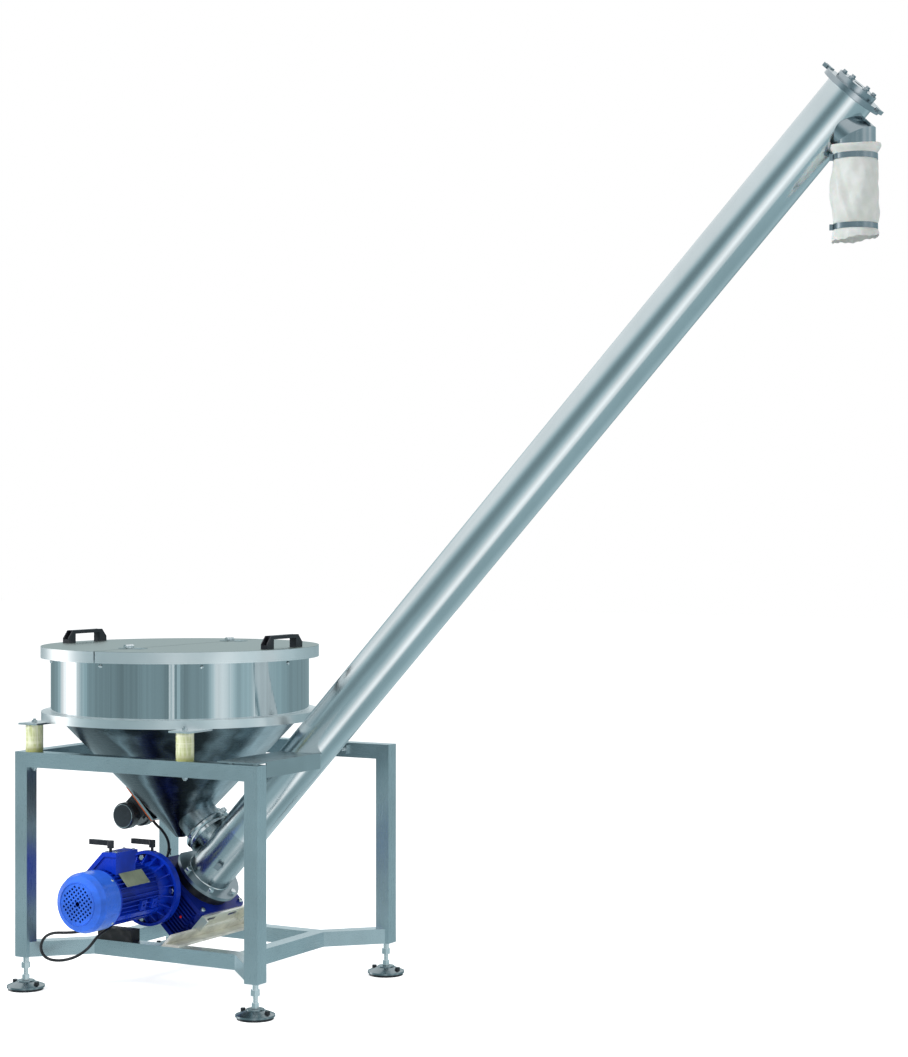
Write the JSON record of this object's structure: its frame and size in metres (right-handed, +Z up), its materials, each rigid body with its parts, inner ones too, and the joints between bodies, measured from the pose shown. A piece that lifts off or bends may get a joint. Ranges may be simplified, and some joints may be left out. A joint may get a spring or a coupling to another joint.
{
  "type": "auger elevator",
  "caption": "Auger elevator: hopper with a hinged split lid on a levelled stand, geared motor, tube climbing at 47 degrees and a spout with a cloth sleeve.",
  "frame": {"origin": "on the floor, midway between the four levelling feet", "axes": "+X is the way the tube climbs in plan, +Y points from the motor's side to the back, +Z is up"},
  "size_m": [2.9277, 1.003, 2.8697],
  "materials": {
    "block_rubber": "black rubber block",
    "bright_steel": "bright polished stainless",
    "cable_black": "black flexible cable",
    "cover_blue": "bright blue painted sheet",
    "foot_metal": "stainless levelling foot with a black rubber sole",
    "frame_steel": "satin brushed stainless square tube",
    "gear_blue": "deep blue painted casting",
    "handle_plastic": "black moulded plastic",
    "hopper_steel": "brushed stainless sheet",
    "motor_blue": "blue painted casting",
    "mount_rubber": "translucent yellow-green rubber buffer",
    "plate_steel": "stainless mounting plate with orange gasket",
    "seal_black": "black seal housing",
    "sleeve_cloth": "white woven polyester",
    "tube_steel": "smooth dark stainless tube",
    "vibrator_grey": "dark grey painted casting",
    "zinc": "yellow passivated zinc"
  },
  "bodies": {
    "elevator": {"auger_screw": "tube_steel", "auger_tube": "tube_steel", "clamp_levers": "handle_plastic", "discharge_spout": "tube_steel", "fan_cover": "cover_blue", "foot_back_left": "foot_metal", "foot_back_right": "foot_metal", "foot_flange": "tube_steel", "foot_front_left": "foot_metal", "foot_front_right": "foot_metal", "gear_bracket": "zinc", "gear_housing": "gear_blue", "head_cover": "tube_steel", "head_flange": "tube_steel", "hopper_cone": "hopper_steel", "hopper_drum": "hopper_steel", "hopper_neck": "hopper_steel", "hopper_ring": "hopper_steel", "inlet_stub": "tube_steel", "leg_back_left": "frame_steel", "leg_back_right": "frame_steel", "leg_front_left": "frame_steel", "leg_front_right": "frame_steel", "lid_fixed_leaf": "hopper_steel", "lid_handle_left": "handle_plastic", "lid_hinge_fixed": "bright_steel", "lower_bar_back": "frame_steel", "lower_bar_front": "frame_steel", "lower_bar_left": "frame_steel", "lower_bar_right": "frame_steel", "motor": "motor_blue", "motor_flange": "motor_blue", "mount_back_left": "mount_rubber", "mount_back_right": "mount_rubber", "mount_front_left": "mount_rubber", "mount_front_right": "mount_rubber", "neck_clamp": "bright_steel", "rail_lug": "bright_steel", "saddle_plate": "tube_steel", "shaft_seal": "seal_black", "sleeve_bands": "bright_steel", "spout_sleeve": "sleeve_cloth", "support_angle": "zinc", "support_block": "block_rubber", "terminal_box": "motor_blue", "top_rail_back": "frame_steel", "top_rail_front": "frame_steel", "top_rail_left": "frame_steel", "vibrator": "vibrator_grey", "vibrator_lead": "cable_black", "vibrator_plate": "plate_steel"},
    "lid_leaf": {"lid_hinged_leaf": "hopper_steel", "lid_handle_right": "handle_plastic", "lid_hinge_moving": "bright_steel"}
  },
  "joints": [
    {"name": "lid_hinge", "type": "hinge", "parent": "elevator", "child": "lid_leaf", "pos_m": [-0.116, 0, 1.137], "axis": [0, -1, 0], "range_deg": [0, 160]}
  ]
}
